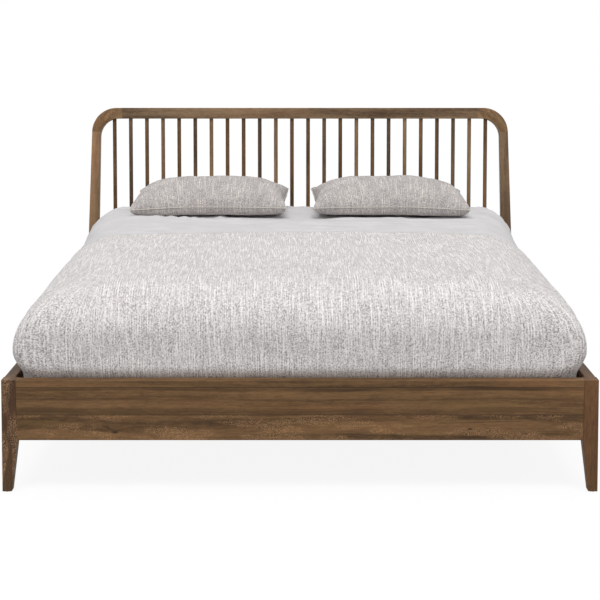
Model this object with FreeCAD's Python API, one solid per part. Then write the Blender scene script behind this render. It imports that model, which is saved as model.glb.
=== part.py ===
"""Spindle bed for a 180 x 200 cm mattress, with its bedding. All sizes are in millimetres.

The bed stands on Z = 0 with the origin under its middle. The foot end faces -Y, the headboard is at +Y.
While the pieces are made, Y = 0 is the front face of the foot legs; the last step centres them.
"""

import FreeCAD, Part
import math
import os

from FreeCAD import Vector

# ---- mattress and the room round it ----
mattress_width = 1800.0
mattress_length = 2000.0
mattress_thickness = 354.0
side_gap = 8.5  # mattress to side rail
foot_gap = 4.0  # mattress to foot rail
head_gap = 6.0  # mattress to headboard post
soft_gap = 0.4  # between soft pieces that lift off each other

# ---- rails and legs ----
rail_top = 368.0
rail_height = 197.0
rail_thickness = 36.0
foot_rail_thickness = 38.0
rail_recess = 2.0  # rail faces behind leg faces
mattress_recess = 50.0  # slat tops below rail tops
leg_width = 46.0
leg_depth = 48.0
leg_foot_width = 31.0
leg_foot_depth = 32.0
leg_splay = 7.0  # outer faces lean out from the rails to the floor
foot_corner_radius = 4.0
foot_corner_steps = 4
edge_round = 3.0
top_round = 1.5
tenon_length = 26.0
tenon_thickness = 14.0
tenon_shoulder = 22.0  # rail edge to tenon edge
glide_radius = 8.5
glide_thickness = 3.0

# ---- headboard ----
head_height = 1114.0
head_lean = 6.0  # degrees back from upright
head_narrowing = 29.5  # outer face in from the legs, at the top
post_taper_start = 40.0  # above the rails, along the post
post_top_width = 33.5
post_bend_radius = 260.0
taper_blend_radius = 900.0
top_rail_height = 46.0
outer_corner_radius = 110.0
inner_corner_radius = 82.0
corner_joint_drop = 105.0  # post joint below the top
crease_setback = 9.2  # top rail's lower edge behind its upper edge
cutter_proud = 1.0  # how far a cutting form stands out of the wood it cuts
head_rail_thickness = 38.0
spindle_count = 24
spindle_end_gap = 60.1  # post's inner face at the top to the middle of the first spindle
spindle_radius = 8.5
spindle_housing = 20.0  # depth of each end in its rail
spindle_chamfer = 1.0
arch_tenon_width = 12.0
arch_tenon_depth = 26.0
arch_tenon_set_back = 4.0
arch_tenon_reach = 16.0  # into each of the two pieces it joins

# ---- slats and their support ----
slat_count = 14
slat_width = 86.0
slat_thickness = 18.0
slat_end_gap = 3.0
slat_edge_round = 4.0
first_slat_gap = 22.0  # end rails to the first and last slats
ledge_width = 24.0
ledge_height = 32.0
strap_width = 25.0
strap_thickness = 1.5
strap_reach = 440.0
beam_width = 40.0
beam_height = 60.0
hanger_thickness = 2.0
hanger_length = 40.0
hanger_flange = 22.0
centre_leg_size = 44.0
centre_leg_foot = 34.0
centre_leg_places = (0.33, 0.67)  # along the beam
stud_radius = 4.0
stud_reach = 30.0

# ---- levelling feet ----
leveller_gap = 24.0  # floor to the wooden leg
pad_radius = 19.0
pad_thickness = 6.0
pad_socket_depth = 4.0
pad_edge = 1.0
pad_collar = 4.0  # flat rim round the socket
stem_radius = 4.0
stem_length = 46.0
stem_ball_radius = 5.5
stem_nut_flats = 13.0
stem_nut_height = 5.0
insert_radius = 6.0
insert_length = 16.0
running_gap = 0.05
stem_neck = 2.0
stem_room_gap = 1.0
stem_tip_chamfer = 1.0
leveller_up = 8.0

# ---- corner hardware ----
plate_thickness = 2.5
plate_height = 60.0
plate_reach = 66.0  # diagonal's ends from the rails' inner corner
plate_flange = 34.0
plate_rise = 18.0  # above the rails' lower edge
leg_chamfer = 9.0
corner_bolt_radius = 4.0
corner_nut_flats = 13.0
corner_nut_height = 7.0
corner_bolt_tail = 6.0
rail_dowel_radius = 5.0
rail_dowel_inset = 42.0
joint_clear = 2.0  # wood left between a tenon and a dowel or bolt

# ---- bedding ----
soft_steps = 6
mattress_side_round = 140.0
mattress_top_round = 120.0
mattress_foot_round = 20.0
cover_side_room = 3.5  # cover outside the mattress, at the sides
cover_height = 10.0  # cover above the mattress
cover_top_round = 132.0
tuck_depth = 28.0  # cover's lower edge below the rail tops
sheet_show = 809.0  # from the mattress's head end to the cover's hem
sheet_height = 8.0
sheet_side_room = 3.0
pillow_length = 676.0
pillow_depth = 400.0
pillow_height = 145.0
pillow_inset = 43.0  # from the middle of the bed
pillow_head_gap = 6.0
pillow_corner_round = 65.0
pillow_round = 60.0

# ---- what follows from them ----
half_width = mattress_width / 2 + side_gap + rail_thickness + rail_recess
rail_bottom = rail_top - rail_height
rail_inner_x = half_width - rail_recess - rail_thickness
foot_rail_back = rail_recess + foot_rail_thickness
head_front = foot_rail_back + foot_gap + mattress_length + head_gap
head_middle = head_front + leg_depth / 2
head_rail_front = head_middle - head_rail_thickness / 2
slat_top = rail_top - mattress_recess
slat_bottom = slat_top - slat_thickness
beam_bottom = slat_bottom - beam_height
stem_nut_base = pad_thickness + running_gap + stem_neck
tenon_room = min(leg_depth - rail_recess - foot_rail_thickness / 2, leg_depth / 2) - tenon_thickness / 2
rail_dowel_reach = tenon_room - joint_clear
corner_bolt_bite = rail_dowel_reach * math.sqrt(2) - corner_bolt_radius
lean = math.radians(head_lean)
arch_top = (head_height - rail_top - leg_depth / 2 * math.sin(lean)) / math.cos(lean)
bend_reach = post_bend_radius * math.tan(lean / 2)
splay_end = rail_top - bend_reach
arch_corner_x = half_width - head_narrowing
arch_inner_x = arch_corner_x - post_top_width
arch_underside = arch_top - top_rail_height
last_spindle_x = arch_inner_x - spindle_end_gap
spindle_pitch = 2 * last_spindle_x / (spindle_count - 1)
rail_joint_x = last_spindle_x - spindle_pitch / 2
post_joint = arch_top - corner_joint_drop

ACROSS = Vector(1, 0, 0)
ALONG = Vector(0, 1, 0)
UP = Vector(0, 0, 1)
ORIGIN = Vector(0, 0, 0)


# ---- shaping ----
def front(u, v):
    return Vector(u, 0, v)


def side(u, v):
    return Vector(0, u, v)


def plan(u, v):
    return Vector(u, v, 0)


NORMALS = {front: ALONG, side: ACROSS, plan: UP}


def bisector(before, corner, after):
    """Unit vector from a corner into its angle, and half that angle."""
    back = (before - corner).normalize()
    ahead = (after - corner).normalize()
    return (back + ahead).normalize(), back.getAngle(ahead) / 2


def rounded_wire(corners, view):
    """Closed wire through flat corners (u, v, radius), each rounded by its radius."""
    flat = [Vector(u, v, 0) for u, v, radius in corners]
    pieces = []
    for i, (u, v, radius) in enumerate(corners):
        before, corner, after = flat[i - 1], flat[i], flat[(i + 1) % len(flat)]
        if radius == 0:
            pieces.append((corner, corner, corner))
            continue
        inward, half = bisector(before, corner, after)
        reach = radius / math.tan(half)
        start = corner + (before - corner).normalize() * reach
        end = corner + (after - corner).normalize() * reach
        middle = corner + inward * (radius / math.sin(half) - radius)
        pieces.append((start, middle, end))
    edges = []
    for i, (start, middle, end) in enumerate(pieces):
        if not start.isEqual(end, 1e-6):
            edges.append(Part.Arc(*[view(p.x, p.y) for p in (start, middle, end)]).toShape())
        following = pieces[(i + 1) % len(pieces)][0]
        if not end.isEqual(following, 1e-6):
            edges.append(Part.LineSegment(view(end.x, end.y), view(following.x, following.y)).toShape())
    return Part.Wire(edges)


def prism(corners, view, start, end):
    """Solid with a rounded outline in one view, from start to end across that view."""
    normal = NORMALS[view]
    solid = Part.Face(rounded_wire(corners, view)).extrude(normal * (end - start))
    solid.translate(normal * start)
    return solid


def block(low, high):
    return Part.makeBox(high.x - low.x, high.y - low.y, high.z - low.z, low)


def edges_along(solid, direction):
    """Straight edges that run in one direction."""
    return [
        edge
        for edge in solid.Edges
        if isinstance(edge.Curve, Part.Line)
        and abs(abs(edge.tangentAt(edge.FirstParameter).dot(direction)) - 1) < 1e-6
    ]


def eased_block(low, high, direction, radius):
    """Board with its long edges rounded."""
    board = block(low, high)
    return board.makeFillet(radius, edges_along(board, direction))


def mirrored(shape):
    return shape.mirror(ORIGIN, ACROSS)


def both_sides(shape):
    return [shape, mirrored(shape)]


def lean_back(shape):
    """Takes a headboard piece from its upright drawing position to its place on the bed."""
    placed = shape.copy()
    placed.translate(Vector(0, head_middle, rail_top))
    placed.rotate(Vector(0, head_middle, rail_top), ACROSS, -head_lean)
    return placed


def hexagon(flats, height, base, direction):
    """Hexagonal nut or head, standing on base."""
    radius = flats / math.sqrt(3)
    ring = [
        Vector(radius * math.cos(math.radians(60 * i)), radius * math.sin(math.radians(60 * i)), 0)
        for i in range(7)
    ]
    solid = Part.Face(Part.makePolygon(ring)).extrude(UP * height)
    solid.Placement = FreeCAD.Placement(base, FreeCAD.Rotation(UP, direction))
    return solid


# ---- foot end ----
def leg_section(z, inset, straight_y, inward):
    """Rounded cross-section of a right leg at one height, as a wire, its inner side drawn in by an inset."""
    share = min(z / rail_bottom, 1)
    depth = leg_foot_depth + share * (leg_depth - leg_foot_depth)
    near, far = sorted((straight_y, straight_y + inward * depth))
    outer = half_width + leg_splay * (1 - z / splay_end)
    inner = half_width - leg_width + (1 - share) * (leg_splay + leg_width - leg_foot_width) + inset
    wire = rounded_wire(
        [(x, y, edge_round) for x, y in ((outer, near), (outer, far), (inner, far), (inner, near))],
        plan,
    )
    wire.translate(UP * z)
    return wire


def tapered_leg(straight_y, inward):
    """Right leg up to just below the rail tops. Its outer end is upright and its other faces slope."""
    sections = []
    for step in range(foot_corner_steps + 1):
        turn = math.pi / 2 * step / foot_corner_steps
        rise = foot_corner_radius * (1 - math.cos(turn))
        inset = foot_corner_radius * (1 - math.sin(turn))
        sections.append(leg_section(glide_thickness + rise, inset, straight_y, inward))
    sections += [leg_section(z, 0, straight_y, inward) for z in (rail_bottom, splay_end)]
    return Part.makeLoft(sections, True, True)


def chamfer_cutter(corner_y, inward):
    """Cuts the leg's inner corner flat for the corner bolt, up to the slats."""
    corner_x = half_width - leg_width
    beside = corner_x - cutter_proud
    beyond = corner_y + inward * cutter_proud
    outline = [
        (beside, corner_y - inward * leg_chamfer, 0),
        (beside, beyond, 0),
        (corner_x + leg_chamfer, beyond, 0),
        (corner_x, corner_y - inward * leg_chamfer, 0),
    ]
    return prism(outline, plan, rail_bottom, slat_bottom)


def foot_leg():
    square = Part.Face(leg_section(splay_end, 0, 0, 1)).extrude(UP * (rail_top - splay_end))
    leg = tapered_leg(0, 1).fuse(square).removeSplitter()
    rim = [edge for edge in leg.Edges if edge.BoundBox.ZMin > rail_top - 1e-3]
    return leg.makeFillet(top_round, rim)


def rail_tenon(low_y, high_y):
    """Tenon on the right end of a cross rail."""
    middle = (low_y + high_y) / 2
    return block(
        Vector(
            half_width - leg_width - cutter_proud,
            middle - tenon_thickness / 2,
            rail_bottom + tenon_shoulder,
        ),
        Vector(
            half_width - leg_width + tenon_length,
            middle + tenon_thickness / 2,
            rail_top - tenon_shoulder,
        ),
    )


def cross_rail(low_y, high_y):
    """Rail between two legs, with a tenon at each end."""
    board = eased_block(
        Vector(leg_width - half_width, low_y, rail_bottom),
        Vector(half_width - leg_width, high_y, rail_top),
        ACROSS,
        edge_round,
    )
    return board.fuse(both_sides(rail_tenon(low_y, high_y))).removeSplitter()


# ---- headboard ----
def arch_outline():
    """Upright front view of the posts above their bends, the corners and the top rail as one band."""
    outer_foot = half_width
    inner_foot = half_width - leg_width
    low = bend_reach
    right = [
        (outer_foot, low, 0),
        (outer_foot, post_taper_start, taper_blend_radius),
        (arch_corner_x, arch_top, outer_corner_radius),
    ]
    inside = [
        (inner_foot, low, 0),
        (inner_foot, post_taper_start, taper_blend_radius),
        (arch_inner_x, arch_underside, inner_corner_radius),
    ]
    left = [(-u, v, radius) for u, v, radius in reversed(right)]
    inside_left = [(-u, v, radius) for u, v, radius in inside]
    return right + left + inside_left + list(reversed(inside))


def inner_arc_centre_x():
    """Middle of the round inside corner, across the bed."""
    below = Vector(half_width - leg_width, post_taper_start, 0)
    corner = Vector(arch_inner_x, arch_underside, 0)
    inward, half = bisector(below, corner, Vector(0, arch_underside, 0))
    return (corner + inward * (inner_corner_radius / math.sin(half))).x


def crease_cutters():
    """Takes the face of the top rail back towards its lower edge, and runs out round each corner."""
    slope = crease_setback / top_rail_height
    face = -leg_depth / 2
    centre_x = inner_arc_centre_x()
    proud = cutter_proud
    drop = inner_corner_radius
    wedge = prism(
        [
            (face - proud, arch_top + proud / slope, 0),
            (face - proud, arch_top - drop, 0),
            (face + slope * drop, arch_top - drop, 0),
        ],
        side,
        -centre_x,
        centre_x,
    )
    cone = Part.makeCone(
        inner_corner_radius + proud / slope,
        0,
        slope * inner_corner_radius + proud,
        Vector(centre_x, face - proud, arch_top - inner_corner_radius),
        ALONG,
    )
    return [wedge] + both_sides(cone)


def arch():
    """The headboard's outer band, upright, before it is cut into its pieces."""
    band = prism(arch_outline(), front, -leg_depth / 2, leg_depth / 2)
    rim = [
        edge
        for edge in band.Edges
        if abs(edge.BoundBox.YMax - edge.BoundBox.YMin) < 1e-6 and edge.BoundBox.ZMax > bend_reach + 1
    ]
    return band.makeFillet(edge_round, rim).cut(crease_cutters())


def spindle_places():
    return [i * spindle_pitch - last_spindle_x for i in range(spindle_count)]


def spindle_top(x):
    """Height at which a spindle's middle meets the underside of the band."""
    centre_x = inner_arc_centre_x()
    if abs(x) <= centre_x:
        return arch_underside
    offset = abs(x) - centre_x
    return arch_underside - inner_corner_radius + math.sqrt(inner_corner_radius**2 - offset**2)


def spindle(x):
    """One straight round spindle, upright, with both ends housed."""
    length = spindle_top(x) + 2 * spindle_housing
    rod = Part.makeCylinder(spindle_radius, length, Vector(x, 0, -spindle_housing), UP)
    rims = [edge for edge in rod.Edges if isinstance(edge.Curve, Part.Circle)]
    return rod.makeChamfer(spindle_chamfer, rims)


def loose_tenon(middle, half_x, half_z):
    """Flat loose tenon set a little behind the middle of the band, clear of the creased face."""
    half_y = arch_tenon_depth / 2
    half = Vector(half_x, half_y, half_z)
    centre = middle + ALONG * arch_tenon_set_back
    return block(centre - half, centre + half)


def arch_tenons():
    """Loose tenons across the four joints of the band, upright."""
    post_middle = Vector(arch_corner_x - post_top_width / 2, 0, post_joint)
    rail_middle = Vector(rail_joint_x, 0, arch_top - top_rail_height / 2)
    upright = loose_tenon(post_middle, arch_tenon_width / 2, arch_tenon_reach)
    level = loose_tenon(rail_middle, arch_tenon_reach, arch_tenon_width / 2)
    return both_sides(upright) + both_sides(level)


def head_post(band):
    """Right post from the floor to its joint with the corner, bent back above the rails."""
    low = tapered_leg(head_front + leg_depth, -1)
    section = leg_section(splay_end, 0, head_front + leg_depth, -1)
    bend_centre = Vector(0, head_middle + post_bend_radius, splay_end)
    bend = Part.Face(section).revolve(bend_centre, ACROSS, -head_lean)
    window = block(Vector(0, -leg_depth, 0), Vector(2 * half_width, leg_depth, post_joint))
    return low.fuse([bend, lean_back(band.common(window))]).removeSplitter()


# ---- base ----
def side_rail():
    return eased_block(
        Vector(rail_inner_x, leg_depth, rail_bottom),
        Vector(half_width - rail_recess, head_front, rail_top),
        ALONG,
        edge_round,
    )


def rail_dowels():
    """Round dowels between the right side rail and its two legs."""
    x = half_width - rail_recess - rail_thickness / 2
    return [
        Part.makeCylinder(
            rail_dowel_radius, 2 * rail_dowel_reach, Vector(x, joint - rail_dowel_reach, z), ALONG
        )
        for joint in (leg_depth, head_front)
        for z in (rail_bottom + rail_dowel_inset, rail_top - rail_dowel_inset)
    ]


def slat_ledge():
    return block(
        Vector(rail_inner_x - ledge_width, leg_depth + plate_reach / 2, slat_bottom - ledge_height),
        Vector(rail_inner_x, head_front - plate_reach / 2, slat_bottom),
    )


def slats():
    """Cross slats at an even pitch between the end rails."""
    first = foot_rail_back + first_slat_gap
    last = head_rail_front - first_slat_gap - slat_width
    pitch = (last - first) / (slat_count - 1)
    reach = rail_inner_x - slat_end_gap
    return [
        eased_block(
            Vector(-reach, first + i * pitch, slat_bottom),
            Vector(reach, first + i * pitch + slat_width, slat_top),
            ACROSS,
            slat_edge_round,
        )
        for i in range(slat_count)
    ]


def slat_strap():
    """Webbing strap under the slats, on the right."""
    return block(
        Vector(strap_reach - strap_width / 2, foot_rail_back + first_slat_gap, slat_bottom - strap_thickness),
        Vector(strap_reach + strap_width / 2, head_rail_front - first_slat_gap, slat_bottom),
    )


def centre_beam():
    return eased_block(
        Vector(-beam_width / 2, foot_rail_back + hanger_thickness, beam_bottom),
        Vector(beam_width / 2, head_rail_front - hanger_thickness, slat_bottom),
        ALONG,
        edge_round,
    )


def beam_hanger(face, inward):
    """Bent steel pocket on an end rail's inner face that the beam drops into."""
    wall = beam_width / 2 + hanger_thickness
    near, far = sorted((face, face + inward * hanger_length))
    pocket = block(
        Vector(-wall, near, beam_bottom - hanger_thickness),
        Vector(wall, far, slat_bottom - edge_round),
    )
    back, front_of_back = sorted((face, face + inward * hanger_thickness))
    flange = block(
        Vector(-wall - hanger_flange, back, beam_bottom - hanger_thickness),
        Vector(wall + hanger_flange, front_of_back, slat_bottom - edge_round),
    )
    room_near, room_far = sorted(
        (face + inward * hanger_thickness, face + inward * (hanger_length + hanger_thickness))
    )
    room = block(
        Vector(-beam_width / 2, room_near, beam_bottom), Vector(beam_width / 2, room_far, rail_top)
    )
    return pocket.fuse(flange).cut(room).removeSplitter()


def centre_leg_y(share):
    return foot_rail_back + share * (head_rail_front - foot_rail_back)


def square_outline(size, y, z):
    half = size / 2
    ways = ((-1, -1), (1, -1), (1, 1), (-1, 1), (-1, -1))
    return Part.makePolygon([Vector(a * half, y + b * half, z) for a, b in ways])


def centre_leg(y):
    """Square wooden leg under the beam, tapered on all four sides."""
    foot = square_outline(centre_leg_foot, y, leveller_gap)
    leg = Part.makeLoft([foot, square_outline(centre_leg_size, y, beam_bottom)], True)
    stem_top = stem_nut_base + stem_length + leveller_up
    stem_room = Part.makeCylinder(
        stem_radius + stem_room_gap, stem_top + stem_room_gap - leveller_gap, Vector(0, y, leveller_gap), UP
    )
    insert_room = Part.makeCylinder(insert_radius, insert_length, Vector(0, y, leveller_gap), UP)
    return leg.cut([stem_room, insert_room])


def leg_stud(y):
    return Part.makeCylinder(stud_radius, 2 * stud_reach, Vector(0, y, beam_bottom - stud_reach), UP)


def thread_insert(y):
    foot = Vector(0, y, leveller_gap)
    sleeve = Part.makeCylinder(insert_radius, insert_length, foot, UP)
    return sleeve.cut(Part.makeCylinder(stem_radius + running_gap, insert_length, foot, UP))


def leveller_pad(y):
    """Round floor pad with a socket for the stem's foot."""
    outline = [
        Vector(0, 0, 0),
        Vector(pad_radius - pad_edge, 0, 0),
        Vector(pad_radius, 0, pad_edge),
        Vector(pad_radius, 0, pad_thickness / 2),
        Vector(stem_ball_radius + pad_collar, 0, pad_thickness),
        Vector(stem_ball_radius + running_gap, 0, pad_thickness),
        Vector(stem_ball_radius + running_gap, 0, pad_thickness - pad_socket_depth),
        Vector(0, 0, pad_thickness - pad_socket_depth),
        Vector(0, 0, 0),
    ]
    pad = Part.Face(Part.makePolygon(outline)).revolve(ORIGIN, UP, 360)
    pad.translate(Vector(0, y, 0))
    return pad


def leveller_stem(y):
    """Threaded stem with a hexagon to turn it and a foot that turns in the pad."""
    socket_floor = pad_thickness - pad_socket_depth + running_gap
    foot_base = Vector(0, y, socket_floor)
    foot = Part.makeCylinder(stem_ball_radius, stem_nut_base - socket_floor, foot_base, UP)
    nut = hexagon(stem_nut_flats, stem_nut_height, Vector(0, y, stem_nut_base), UP)
    rod = Part.makeCylinder(stem_radius, stem_length, Vector(0, y, stem_nut_base), UP)
    tip = [edge for edge in rod.Edges if edge.BoundBox.ZMin > stem_nut_base + stem_nut_height]
    return foot.fuse([nut, rod.makeChamfer(stem_tip_chamfer, tip)]).removeSplitter()


# ---- corner hardware ----
def corner_place(corner_y, inward):
    """Turns (right, deep) distances from the right-hand rails' inner corner into plan points."""
    return lambda u, v: (rail_inner_x - u, corner_y + inward * v, 0)


def corner_plate(corner_y, inward):
    """Bent steel plate across the corner between two rails."""
    at = corner_place(corner_y, inward)
    ease = plate_thickness * (math.sqrt(2) - 1)
    end = plate_reach + plate_flange
    outline = [
        at(end, 0),
        at(plate_reach, 0),
        at(0, plate_reach),
        at(0, end),
        at(plate_thickness, end),
        at(plate_thickness, plate_reach + ease),
        at(plate_reach + ease, plate_thickness),
        at(end, plate_thickness),
    ]
    low = rail_bottom + plate_rise
    return prism(outline, plan, low, low + plate_height)


def corner_bolt(corner_y, inward):
    """Bolt from the leg's chamfered corner through the plate, with its nut on the plate."""
    z = rail_bottom + plate_rise + plate_height / 2
    to_middle = Vector(-1, inward, 0).normalize()
    plate_face = Vector(rail_inner_x - plate_reach / 2, corner_y + inward * plate_reach / 2, z)
    nut_base = plate_face + to_middle * plate_thickness
    corner = Vector(half_width - leg_width, corner_y + inward * (leg_depth - foot_rail_back), z)
    start = corner - to_middle * corner_bolt_bite
    length = start.distanceToPoint(nut_base) + corner_nut_height + corner_bolt_tail
    rod = Part.makeCylinder(corner_bolt_radius, length, start, to_middle)
    return rod.fuse(hexagon(corner_nut_flats, corner_nut_height, nut_base, to_middle)).removeSplitter()


def leg_glide(y):
    x = half_width + leg_splay - (leg_foot_width - foot_corner_radius) / 2
    return Part.makeCylinder(glide_radius, glide_thickness, Vector(x, y, 0), UP)


# ---- bedding ----
def soft_outline(low, high, corner_round, inset, z):
    """Closed outline of a soft block at one height, drawn in by an inset, its corners in straight steps."""
    radius = corner_round - inset
    points = []
    for quarter, (x, y) in enumerate(((high.x, high.y), (low.x, high.y), (low.x, low.y), (high.x, low.y))):
        centre_x = x - math.copysign(corner_round, x - (low.x + high.x) / 2)
        centre_y = y - math.copysign(corner_round, y - (low.y + high.y) / 2)
        for step in range(soft_steps + 1):
            turn = math.pi / 2 * (quarter + step / soft_steps)
            points.append(Vector(centre_x + radius * math.cos(turn), centre_y + radius * math.sin(turn), z))
    return Part.makePolygon(points + points[:1])


def soft_block(low, high, corner_round, top_round, bottom_round):
    """Plain closed form with round upright corners and round upper and lower edges."""
    sections = []
    for radius, level, way in ((bottom_round, low.z, 1), (top_round, high.z, -1)):
        edge = [
            soft_outline(
                low,
                high,
                corner_round,
                radius * (1 - math.cos(math.pi / 2 * step / soft_steps)),
                level + way * radius * (1 - math.sin(math.pi / 2 * step / soft_steps)),
            )
            for step in range(soft_steps if radius else 0, -1, -1)
        ]
        sections += edge if way > 0 else list(reversed(edge))
    return Part.makeLoft(sections, True, True)


mattress_low = Vector(-mattress_width / 2, foot_rail_back + foot_gap, slat_top + soft_gap)
mattress_high = Vector(
    mattress_width / 2, mattress_low.y + mattress_length, mattress_low.z + mattress_thickness
)
hem_y = mattress_high.y - sheet_show


def mattress():
    return soft_block(
        mattress_low, mattress_high, mattress_side_round, mattress_top_round, mattress_foot_round
    )


def cover_over(body, side_room, height, low_y, high_y):
    """Closed layer of cloth over the mattress between two places along the bed."""
    outer = soft_block(
        Vector(mattress_low.x - side_room, mattress_low.y - side_room, rail_top - tuck_depth),
        Vector(mattress_high.x + side_room, mattress_high.y + side_room, mattress_high.z + height),
        mattress_side_round + side_room,
        cover_top_round,
        0,
    )
    strip = block(
        Vector(-half_width, low_y, 0), Vector(half_width, high_y, head_height)
    )
    return outer.common(strip).cut(body)


def pillow():
    """Plain form of the right-hand pillow, lying flat on the sheet."""
    low_z = mattress_high.z + sheet_height + soft_gap
    high_y = head_front - pillow_head_gap
    return soft_block(
        Vector(pillow_inset, high_y - pillow_depth, low_z),
        Vector(pillow_inset + pillow_length, high_y, low_z + pillow_height),
        pillow_corner_round,
        pillow_round,
        pillow_round,
    )


# ---- the whole bed ----
def make_bed():
    """All nodes by name, with Y = 0 at the front face of the foot legs."""
    bed = {}
    corners = ((foot_rail_back, 1), (head_rail_front, -1))

    leg = foot_leg()
    foot_rail = cross_rail(rail_recess, foot_rail_back)
    head_rail = cross_rail(head_rail_front, head_rail_front + head_rail_thickness)
    band = arch()
    post = head_post(band)
    tenons = arch_tenons()
    places = spindle_places()
    rods = [spindle(x) for x in places]

    far = 2 * half_width
    post_box = block(Vector(-far, -leg_depth, -far), Vector(far, leg_depth, post_joint))
    rail_box = block(Vector(-rail_joint_x, -leg_depth, 0), Vector(rail_joint_x, leg_depth, far))
    above_posts = band.cut(post_box)
    housed = [Part.makeCylinder(spindle_radius, rod.BoundBox.ZLength, Vector(x, 0, -spindle_housing), UP)
              for rod, x in zip(rods, places)]
    right_half = block(Vector(0, -leg_depth, 0), Vector(far, leg_depth, far))
    top_rail = above_posts.common(rail_box).cut(tenons + housed)
    corner = above_posts.cut(rail_box).common(right_half).cut(tenons + housed)

    lean_tenons = [lean_back(tenon) for tenon in tenons]
    lean_housed = [lean_back(rod) for rod in housed]
    head_rail = head_rail.cut(lean_housed)
    post = post.cut(lean_tenons + [rail_tenon(head_rail_front, head_rail_front + head_rail_thickness)])
    leg = leg.cut([rail_tenon(rail_recess, foot_rail_back)])

    side_board = side_rail().cut(rail_dowels())
    leg = leg.cut(rail_dowels())
    post = post.cut(rail_dowels())

    bolts = [corner_bolt(*place) for place in corners]
    plates = [corner_plate(*place).cut(bolt) for place, bolt in zip(corners, bolts)]
    leg = leg.cut([chamfer_cutter(leg_depth, 1), bolts[0]])
    post = post.cut([chamfer_cutter(head_front, -1), bolts[1]])
    foot_rail = foot_rail.cut(both_sides(bolts[0]))
    head_rail = head_rail.cut(both_sides(bolts[1]))

    bed["headboard_post_right"], bed["headboard_post_left"] = both_sides(post)
    bed["headboard_corner_right"], bed["headboard_corner_left"] = both_sides(lean_back(corner))
    bed["headboard_top_rail"] = lean_back(top_rail)
    bed["head_rail"] = head_rail
    for number, rod in enumerate(rods, 1):
        bed[f"spindle_{number:02d}"] = lean_back(rod)
    bed["headboard_tenons"] = Part.makeCompound(lean_tenons)
    bed["foot_rail"] = foot_rail
    bed["foot_leg_right"], bed["foot_leg_left"] = both_sides(leg)
    bed["side_rail_right"], bed["side_rail_left"] = both_sides(side_board)
    bed["slat_ledge_right"], bed["slat_ledge_left"] = both_sides(slat_ledge())
    bed["rail_dowels"] = Part.makeCompound(rail_dowels() + [mirrored(d) for d in rail_dowels()])

    leg_places = [centre_leg_y(share) for share in centre_leg_places]
    studs = [leg_stud(y) for y in leg_places]
    bed["centre_beam"] = centre_beam().cut(studs)
    bed["beam_hangers"] = Part.makeCompound([beam_hanger(*place) for place in corners])
    bed["centre_leg_studs"] = Part.makeCompound(studs)
    bed["thread_inserts"] = Part.makeCompound([thread_insert(y) for y in leg_places])
    for name, y in zip(("foot", "head"), leg_places):
        bed[f"centre_leg_{name}"] = centre_leg(y).cut(studs)
        bed[f"leveller_pad_{name}"] = leveller_pad(y)
        bed[f"leveller_stem_{name}"] = leveller_stem(y)
    bed["slats"] = Part.makeCompound(slats())
    bed["slat_straps"] = Part.makeCompound(both_sides(slat_strap()))
    bed["corner_plates"] = Part.makeCompound(plates + [mirrored(p) for p in plates])
    bed["corner_bolts"] = Part.makeCompound(bolts + [mirrored(b) for b in bolts])
    glides = [leg_glide(leg_foot_depth / 2), leg_glide(head_middle + leg_depth / 2 - leg_foot_depth / 2)]
    bed["leg_glides"] = Part.makeCompound(glides + [mirrored(g) for g in glides])

    body = mattress()
    bed["mattress"] = body
    bed["coverlet"] = cover_over(body, cover_side_room, cover_height, 0, hem_y)
    bed["fitted_sheet"] = cover_over(body, sheet_side_room, sheet_height, hem_y, head_middle)
    bed["pillow_right"], bed["pillow_left"] = both_sides(pillow())
    return bed


bed = make_bed()
whole = Part.makeCompound(list(bed.values())).optimalBoundingBox()
centre = Vector(0, -(whole.YMin + whole.YMax) / 2, 0)
os.makedirs("parts", exist_ok=True)
for name, shape in bed.items():
    shape.translate(centre)
    shape.exportStep(f"parts/{name}.step")
print("size", round(whole.XLength, 2), round(whole.YLength, 2), round(whole.ZLength, 2))
print("front face of the foot legs at y", round(centre.y, 3))
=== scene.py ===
"""Spindle bed: its finishes, its bedding and its small fittings. All lengths are in metres."""

import math

import bmesh
import bpy
from mathutils import Matrix, Vector, noise


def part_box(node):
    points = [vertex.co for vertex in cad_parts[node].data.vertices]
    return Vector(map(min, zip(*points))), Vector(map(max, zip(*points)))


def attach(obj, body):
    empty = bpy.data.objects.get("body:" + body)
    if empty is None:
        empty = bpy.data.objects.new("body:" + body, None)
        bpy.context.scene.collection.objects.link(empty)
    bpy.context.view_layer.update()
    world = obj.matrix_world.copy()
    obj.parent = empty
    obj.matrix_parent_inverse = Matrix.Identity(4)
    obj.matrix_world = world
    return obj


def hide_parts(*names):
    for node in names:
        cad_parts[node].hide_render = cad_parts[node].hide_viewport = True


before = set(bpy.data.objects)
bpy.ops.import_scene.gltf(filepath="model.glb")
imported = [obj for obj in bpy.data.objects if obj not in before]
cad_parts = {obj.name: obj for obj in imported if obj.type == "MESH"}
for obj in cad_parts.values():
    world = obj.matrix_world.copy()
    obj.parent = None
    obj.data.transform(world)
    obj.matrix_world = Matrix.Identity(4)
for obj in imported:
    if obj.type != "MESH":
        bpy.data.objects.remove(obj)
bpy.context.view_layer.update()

# ---- places taken from the frame ----
front_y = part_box("foot_leg_left")[0].y
rail_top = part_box("foot_rail")[1].z
rail_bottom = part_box("foot_rail")[0].z
side_rail_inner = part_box("side_rail_right")[0].x
hem_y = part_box("coverlet")[1].y
head_end_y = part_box("fitted_sheet")[1].y


def clamp(value, low=0.0, high=1.0):
    return max(low, min(high, value))


def smooth_step(low, high, value):
    """0 below low, 1 above high, and an easy run between them."""
    share = clamp((value - low) / (high - low))
    return share * share * (3 - 2 * share)


def mix(a, b, share):
    return a + (b - a) * share


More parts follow.
